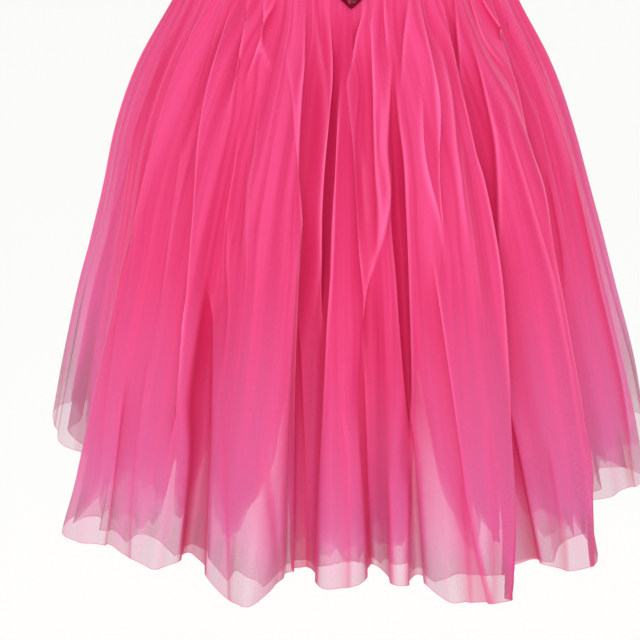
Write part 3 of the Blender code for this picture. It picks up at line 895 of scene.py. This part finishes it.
@dataclass
class TulleLayer:
    """One gathered tulle layer, front and back, on the form of its solids."""

    name: str
    order: int  # 0 is the outermost
    hem_lift: float
    hem_wave: float
    flute_depth: float
    insets: tuple[float, ...]  # under the outline: at the top, the head, the middle and the hem
    columns: int
    rows: int
    ply_stops: tuple[tuple[float, float], ...]  # share of the way down, plies there
    hem_lifts: tuple[HemLift, ...]
    side: SheerSide = SheerSide(least_share=1.0)
    fold_share: float = 1.0  # how deep its folds are against the overlay's
    fold_grow: float = 0.4  # how soon they are whole, against the flutes
    fold_shift: float = 0.0  # how far to the right of the overlay's they lie
    ply_shift: float = 0.006  # and how much further with each ply
    # How strong its crest and hollow marks are: painted highlight, painted shade and their plies.
    mark_share: float = 1.0
    low_loss: float = 0.6  # how much of their rise folds lose down to the hem
    crest_inset: float = 0.0  # how much further in it is in a flute,
    crest_inset_top: float = 0.4  # from this far down
    crest_inset_reach: float = 0.5
    crest_lift: float = 0.0  # and how much higher its hem is there
    gather_share: float = 0.7  # how deep its gathers are against the solid's
    gather_loss: float = 0.7
    fine_gather: float = 0.0006
    fine_count: int = 97
    fine_drift: tuple[float, float] = (2.5, 9.0)  # how far their phase drifts, and how often
    fine_reach: float = 0.40  # how far down they die out
    hem_jag: float = 0.0
    jag_counts: tuple[int, ...] = (23, 41, 67, 113, 171)
    plies: int = 1
    ply_gap: float = 0.004
    ply_step: float = 0.010
    held_slant: float = 1.25
    layer_step: float = 0.0014  # a wall of net and the gap to the next
    inset_stops: tuple[float, ...] = (0.0, 0.07, 0.30, 1.0)  # how far down those lie
    hem_waves: tuple[tuple[int, float, float], ...] = ((5, 1.0, 0.4), (11, 0.6, 1.9))
    edge_width: float = 0.0009  # the cut edge, which shows as a fine line of more plies and painted highlight
    edge_plies: float = 1.2
    edge_crest_highlight: float = 0.9

    @property
    def is_outer(self) -> bool:
        """Whether this is one of the two outer layers, whose cut edges show."""
        return self.order < 2

    def hem(self, degrees: Array, ply: int) -> Array:
        """Height of the hem: level, with slow waves, lifts and, on a petticoat, a jagged edge."""
        angle = np.radians(degrees)
        wave = sum(share * np.sin(waves * angle + start) for waves, share, start in self.hem_waves)
        jag = sum(np.sin(waves * angle + 1.7 * ply + waves) / (1 + 0.3 * number)
                  for number, waves in enumerate(self.jag_counts))
        height = (FORM.hem_height + self.hem_lift + self.hem_wave * wave + ply * self.ply_step
                  + self.hem_jag * jag + self.crest_lift * FORM.lens_share(degrees))
        for rise in self.hem_lifts:
            if self.order + ply >= rise.first_ply:
                away = wrap(degrees - rise.degrees)
                width = rise.half_width * np.where(away > 0, rise.right_share, 1)
                height = height + rise.lift * np.exp(-np.abs(away / width) ** rise.power)
        return height

    def radius(self, degrees: Array, height: Array, ply: int) -> Array:
        """Radius before the folds: the outline's by the flutes', plus gathers, less the insets."""
        drop = FORM.drop(degrees, height)
        clear = smooth_step(drop / FORM.flute_grow_depth)
        depth = (FORM.band_low - height) / (FORM.band_low - FORM.hem_height)
        deepening = smooth_step(FORM.flute_head_start + (1 - FORM.flute_head_start) * depth)
        grown = (FORM.flute_start + (1 - FORM.flute_start) * deepening) * clear * self.flute_depth
        fluted = 1 + grown * (FORM.flute_share(degrees) - 1.0)
        gathers = curves(drop, GATHER_DEPTHS)[0] * FORM.gather_wave(degrees)
        angle = np.radians(degrees)
        far, often = self.fine_drift
        drift = far * np.sin(angle * often + ply + self.order)
        fine = np.cos(angle * self.fine_count + drift)
        fade = smooth_step(drop / FORM.fold_start) * smooth_step(1 - drop / self.fine_reach)
        low = smooth_step((depth - self.crest_inset_top) / self.crest_inset_reach)
        return (FORM.outline_radius(degrees, height) * fluted
                + self.gather_share * gathers * (1 - self.gather_loss * np.clip(depth, 0, 1))
                + self.fine_gather * fine * fade
                - self.order * self.layer_step * self.held_slant
                - np.interp(depth, self.inset_stops, self.insets)
                - self.crest_inset * FORM.lens_share(degrees) * low
                - ply * self.ply_gap * smooth_step(depth / self.inset_stops[2]))

    def points(self, half: Half, degrees: Array, height: Array, ply: int) -> tuple[Array, ...]:
        """Work out points of the layer.

        The lean turns flutes towards front and back, by the logarithm of how far they stand out.
        Then the folds move the points outwards and sideways.

        Args:
            half: the half that the points are in.
            degrees, height: where the points are.
            ply: which of the layer's plies, 0 being the outermost.

        Returns:
            An array of XYZ, and the marks of the crests' painted highlight and the hollows' painted
            shade, which also add plies.
        """
        drop = FORM.drop(degrees, height)
        radius = self.radius(degrees, height, ply)
        angle = np.radians(degrees)
        outline = FORM.outline_radius(degrees, height)
        lean = np.sin(angle) * np.cos(angle) * np.log(radius / (FORM.lean_share * outline))
        angle = angle - FORM.flute_lean * lean * smooth_step(drop / FORM.flute_grow_depth)
        outwards, sideways, crest, hollow = FoldField(half).work(
            np.degrees(angle), height, radius, self.fold_shift + ply * self.ply_shift)
        strength = smooth_step(drop / (self.fold_grow * FORM.flute_grow_depth)) * self.fold_share
        low = smooth_step((FORM.low_start - height) / (FORM.low_start - FORM.hem_height))
        radius = radius + outwards * strength * (1 - self.low_loss * low)
        points = round_axis(radius, angle + sideways * strength / radius, height)
        return points, crest * self.mark_share, hollow * self.mark_share

    def build(self, half: Half, ply: int) -> Piece:
        """Build one half of one ply, with its flat UV and its marks."""
        degrees = half.angles(self.columns + 1)[None, :]
        drop = FORM.tulle_top - FORM.hem_height - self.hem_lift
        share = np.append(np.linspace(0.0, 1 - self.edge_width / drop, self.rows), 1.0)[:, None]
        height = FORM.tulle_top + share * (self.hem(degrees, ply) - FORM.tulle_top)
        degrees = np.broadcast_to(degrees, height.shape)
        points, crest, hollow = self.points(half, degrees, height, ply)
        uv = flat_uv(points[-1, :, :2], height)
        down = (FORM.tulle_top - height) / drop
        plies = np.interp(down, *np.array(self.ply_stops).T) * self.side.share(degrees, down)
        # The outer layers' cut edge gets more plies and a painted highlight.
        if self.is_outer:
            plies[-1], crest[-1] = self.edge_plies, self.edge_crest_highlight
        suffix = f"_{ply + 1}" if self.plies > 1 else ""
        piece = new_piece(f"{half.of(self.name)}_cloth{suffix}", points, uv=uv,
                          marks={"plies": plies, "crest": crest, "hollow": hollow})
        return piece

    def make(self, material: Material) -> None:
        """Build and dress every ply of both halves."""
        for half in Half:
            for ply in range(self.plies):
                dress(self.build(half, ply), material, self.name, half.of(self.name))


OUTER_LIFTS = (HemLift(-101, 10, 0.009),)

PETTICOAT_LIFTS = tuple(HemLift(*row) for row in (
    (-54, 13, 0.045, 3),
    (-35.8, 0.8, 0.090),
    (-29.5, 2.6, 0.110),
    (-13.6, 4.4, 0.165, 0, 0.3),
    (14.4, 1.9, 0.170),
    (18.2, 1.9, 0.045),
    (23, 1.3, 0.035),
    (32.5, 3, 0.050),
    (50, 8, 0.020, 3),
    (88, 9, 0.030, 3),
    (118, 2.6, 0.090),
    (149, 12, 0.040, 3),
    (176, 2.6, 0.120),
    (205, 2.2, 0.090),
    (226, 13, 0.050, 3),
    (248, 2.6, 0.105),
))

LAYERS = (
    TulleLayer(
        name="overlay", order=0, hem_lift=0.0, hem_wave=0.004, flute_depth=1.00,
        insets=(0.0, 0.0, 0.0, 0.0), columns=860, rows=112,
        ply_stops=((0.0, 4.0), (0.2, 2.8), (0.55, 2.0), (0.85, 1.15), (0.95, 0.80), (1.0, 0.72)),
        hem_lifts=OUTER_LIFTS, side=SheerSide(),
    ),
    TulleLayer(
        name="second_layer", order=1, hem_lift=0.003, hem_wave=0.003, flute_depth=0.98,
        insets=(0.0, 0.003, 0.011, 0.008), columns=620, rows=72,
        ply_stops=((0.0, 4.0), (0.2, 2.8), (0.5, 2.0), (0.74, 1.1), (0.9, 0.78), (1.0, 0.72)),
        hem_lifts=OUTER_LIFTS, hem_waves=((7, 0.7, 0.4), (16, 0.8, 1.9), (29, 0.5, 0.6)),
        crest_inset=0.016, crest_lift=0.006, fold_share=0.85, fold_shift=0.001, mark_share=0.7,
    ),
    TulleLayer(
        name="petticoat", order=2, hem_lift=0.006, hem_wave=0.005, flute_depth=0.80,
        insets=(0.0, 0.005, 0.024, 0.036), columns=330, rows=46,
        ply_stops=((0.0, 4.0), (0.6, 2.4), (0.80, 1.9), (0.92, 1.1), (1.0, 0.60)),
        hem_lifts=PETTICOAT_LIFTS, hem_jag=0.004, plies=3,
        fold_share=0.6, fold_shift=-0.005, mark_share=0.5,
    ),
    TulleLayer(
        name="inner_petticoat", order=3, hem_lift=0.032, hem_wave=0.008, flute_depth=0.62,
        insets=(0.0, 0.007, 0.036, 0.054), columns=250, rows=38,
        ply_stops=((0.0, 4.0), (0.6, 2.6), (0.84, 2.2), (0.94, 1.2), (1.0, 0.4)),
        hem_lifts=PETTICOAT_LIFTS, hem_jag=0.006, plies=2, ply_gap=0.006,
        fold_share=0.5, fold_shift=0.007, mark_share=0.4,
    ),
)


# The basque


@dataclass
class Basque:
    """The band: a stretch cloth shell with a point, a bound top edge and rows of sequins."""

    name: str = "basque"
    columns: int = 180
    rows: int = 20
    thickness: float = 0.0014
    clearance: float = 0.0010
    stretch: float = 1.03  # its flat width against its worn one
    slope_step: float = 0.001
    turn_step: float = 0.2  # in degrees
    sequin_radius: float = 0.0021
    sequin_pitch: float = 0.0036  # between sequins in a row
    row_pitch: float = 0.0030
    first_row: float = 0.0025  # how far below the top edge the first row's middles lie
    sequin_sides: int = 8
    sequin_cup: float = 0.0003
    sequin_lift: float = 0.0007  # of the discs off the cloth
    sequin_tilt: float = 0.22  # spread of the tilts, in radians
    sequin_hang: float = 0.16  # how far their lower edges stand off
    sequin_stray: float = 0.06  # spread of their places along a row, in degrees
    edge_margin: float = 0.0012
    cord_radius: float = 0.0010
    cord_sides: int = 6
    cord_points: int = 240
    cord_uv_step: float = 0.002  # of its UV for each degree
    seed: int = 7

    def points(self, degrees: Array, height: Array, offset: float = 0.0) -> Array:
        """Points off the outline by wall, clearance and offset, measured square to the slope."""
        outline = FORM.outline_radius(degrees, height)
        slope = (FORM.outline_radius(degrees, height - self.slope_step) - outline) / self.slope_step
        off = self.clearance + self.thickness + offset
        return round_axis(outline + off * np.hypot(1.0, slope), np.radians(degrees), height)

    def cloth(self, half: Half) -> Piece:
        """Build one half of the cloth, a grid from edge to edge, with its wall."""
        degrees = half.angles(self.columns + 1)[None, :]
        height = np.linspace(0.0, 1.0, self.rows + 1)[:, None] * FORM.band_edge(degrees)
        points = self.points(np.broadcast_to(degrees, height.shape), height)
        uv = flat_uv(points[0], height)
        piece = new_piece(f"{half.of(self.name)}_cloth", points, uv=uv)
        wall = piece.modifiers.new("wall", "SOLIDIFY")
        wall.thickness = self.thickness
        wall.offset = -1.0
        return piece

    def sequin_places(self, half: Half) -> tuple[Array, Array]:
        """List angles and heights of one half's discs, every other row shifted by half a disc."""
        places = []
        for row in range(int(-FORM.band_edge(half.value) / self.row_pitch)):
            height = -self.first_row - row * self.row_pitch
            radius = FORM.outline_radius(45.0, np.array([height]))[0]
            step = math.degrees(self.sequin_pitch / radius)
            degrees = np.arange(half.value - 90.0 + 0.5 * step * (1 + row % 2),
                                half.value + 90.0 - 0.4 * step, step)
            kept = height - self.sequin_radius - self.edge_margin > FORM.band_edge(degrees)
            places.append(np.stack((degrees[kept], np.full(kept.sum(), height))))
        return np.concatenate(places, axis=1)

    def sequins(self, half: Half) -> Piece:
        """Sew on discs: fans round raised middles, along the band and tilted a little at random."""
        random = np.random.default_rng(self.seed + int(half.value))
        degrees, height = self.sequin_places(half)
        degrees = degrees + random.normal(0.0, self.sequin_stray, degrees.shape)
        middle = self.points(degrees, height, self.sequin_lift)
        right = unit(self.points(degrees + self.turn_step, height, self.sequin_lift) - middle)
        down = unit(self.points(degrees, height - self.slope_step, self.sequin_lift) - middle)
        out = np.cross(down, right)
        tilt = random.normal(0.0, self.sequin_tilt, (2, len(middle), 1))
        right = right + out * tilt[0]
        down = down + out * (tilt[1] + self.sequin_hang)
        side = np.arange(self.sequin_sides)
        rim = rings(middle, self.sequin_radius, 2 * np.pi * side / self.sequin_sides, right, down)
        crown = middle + self.sequin_cup * unit(np.cross(down, right))
        points = np.concatenate((crown[:, None, :], rim), axis=1)
        fan = np.stack((0 * side, 1 + (side + 1) % self.sequin_sides, 1 + side), axis=-1)
        faces = np.arange(len(middle))[:, None, None] * (self.sequin_sides + 1) + fan
        shade = np.repeat(random.random(len(middle)), self.sequin_sides + 1)
        return new_piece(f"{half.of(self.name)}_sequins", points, faces.reshape(-1, 3),
                         marks={"shade": shade})

    def edge_cord(self, half: Half, name: str, height: Array) -> Piece:
        """Lay a rolled edge: a round profile carried along a line of heights."""
        degrees = half.angles(self.cord_points)
        line = self.points(degrees, height, -0.5 * self.thickness)
        along = unit(np.gradient(line, axis=0))
        out = round_axis(1.0, np.radians(degrees), 0.0)
        out = unit(out - along * np.sum(out * along, axis=1, keepdims=True))
        turn = 2 * np.pi * np.arange(self.cord_sides + 1) / self.cord_sides
        points = rings(line, self.cord_radius, turn, out, np.cross(along, out))
        uv = np.stack(np.meshgrid(turn * self.cord_radius, degrees * self.cord_uv_step), axis=-1)
        return new_piece(f"{half.of(self.name)}_{name}_edge", points, uv=uv)

    def make(self) -> None:
        """Build and dress the cloth, the edges and the sequins of both halves."""
        cloth, sequins = BandFinish().material(), SequinFinish().material()
        for half in Half:
            dress(self.cloth(half), cloth, self.name, half.of(self.name))
            lower = FORM.band_edge(half.angles(self.cord_points))
            for name, height in (("top", np.zeros_like(lower)), ("lower", lower)):
                dress(self.edge_cord(half, name, height), cloth, self.name)
            dress(self.sequins(half), sequins, self.name)


# The studio


@dataclass(frozen=True)
class Studio:
    """Camera, soft light and the pale floor."""

    camera_place: tuple[float, float, float] = (-0.027, -1.204, -0.014)
    look_down: float = 20.7  # degrees
    lens: float = 67.5
    lamp_place: tuple[float, float, float] = (-0.2, -3.0, -0.1)
    lamp_size: float = 1.8
    lamp_power: float = 30.0
    lamp_aim: tuple[float, float, float] = (0.0, 0.0, -0.35)  # the middle of the skirt
    floor_height: float = -1.9
    floor_reach: float = 40.0
    floor_colour: Colour = (0.96, 0.96, 0.95)
    clear_bounces: int = 40  # how many layers of net a ray may pass

    def make(self) -> None:
        """Set the camera, a white world, a square area lamp in front and the floor."""
        scene = bpy.context.scene
        scene.view_settings.view_transform = "Standard"
        scene.cycles.transparent_max_bounces = self.clear_bounces
        scene.camera = place("camera", bpy.data.cameras.new("camera"))
        scene.camera.data.lens = self.lens
        scene.camera.location = self.camera_place
        scene.camera.rotation_euler = (math.radians(90 - self.look_down), 0, 0)
        scene.world = bpy.data.worlds.new("studio")
        scene.world.use_nodes = True
        nodes = NodeTree(scene.world.node_tree)
        nodes.fill(nodes.tree.nodes["Background"], {"Color": (1.0, 1.0, 1.0), "Strength": 1.0})
        lamp = place("key", bpy.data.lights.new("key", "AREA"))
        lamp.data.size = self.lamp_size
        lamp.data.energy = self.lamp_power
        lamp.location = self.lamp_place
        x, y, z = np.array(self.lamp_aim) - np.array(self.lamp_place)
        lamp.rotation_euler = (math.atan2(math.hypot(x, y), -z), 0, math.atan2(-x, y))
        corners = ((-1, -1), (1, -1), (1, 1), (-1, 1))
        points = [(x * self.floor_reach, y * self.floor_reach, self.floor_height) for x, y in corners]
        floor = new_piece("studio_floor", np.array(points), np.array([[0, 1, 2, 3]]))
        material, nodes, shader = new_material("studio_floor")
        nodes.fill(shader, {"Base Color": self.floor_colour, "Roughness": 0.9})
        floor.data.materials.append(material)


def main() -> None:
    """Build the studio and every sub-assembly in order, and report each piece."""
    logging.basicConfig(level=logging.INFO, format="%(name)s: %(message)s")
    Studio().make()
    groups = net_group(), streak_group()
    outer = TulleFinish("outer_tulle", (0.45, 0.145, 0.240), (0.69, 0.136, 0.345),
                        (0.70, 0.046, 0.176)).material(*groups)
    inner = TulleFinish("petticoat_net", (0.50, 0.145, 0.265), (0.71, 0.122, 0.330),
                        (0.84, 0.040, 0.160), hole_cover=0.47).material(*groups)
    Basque().make()
    for layer in LAYERS:
        layer.make(outer if layer.is_outer else inner)


if __name__ == "__main__":
    main()
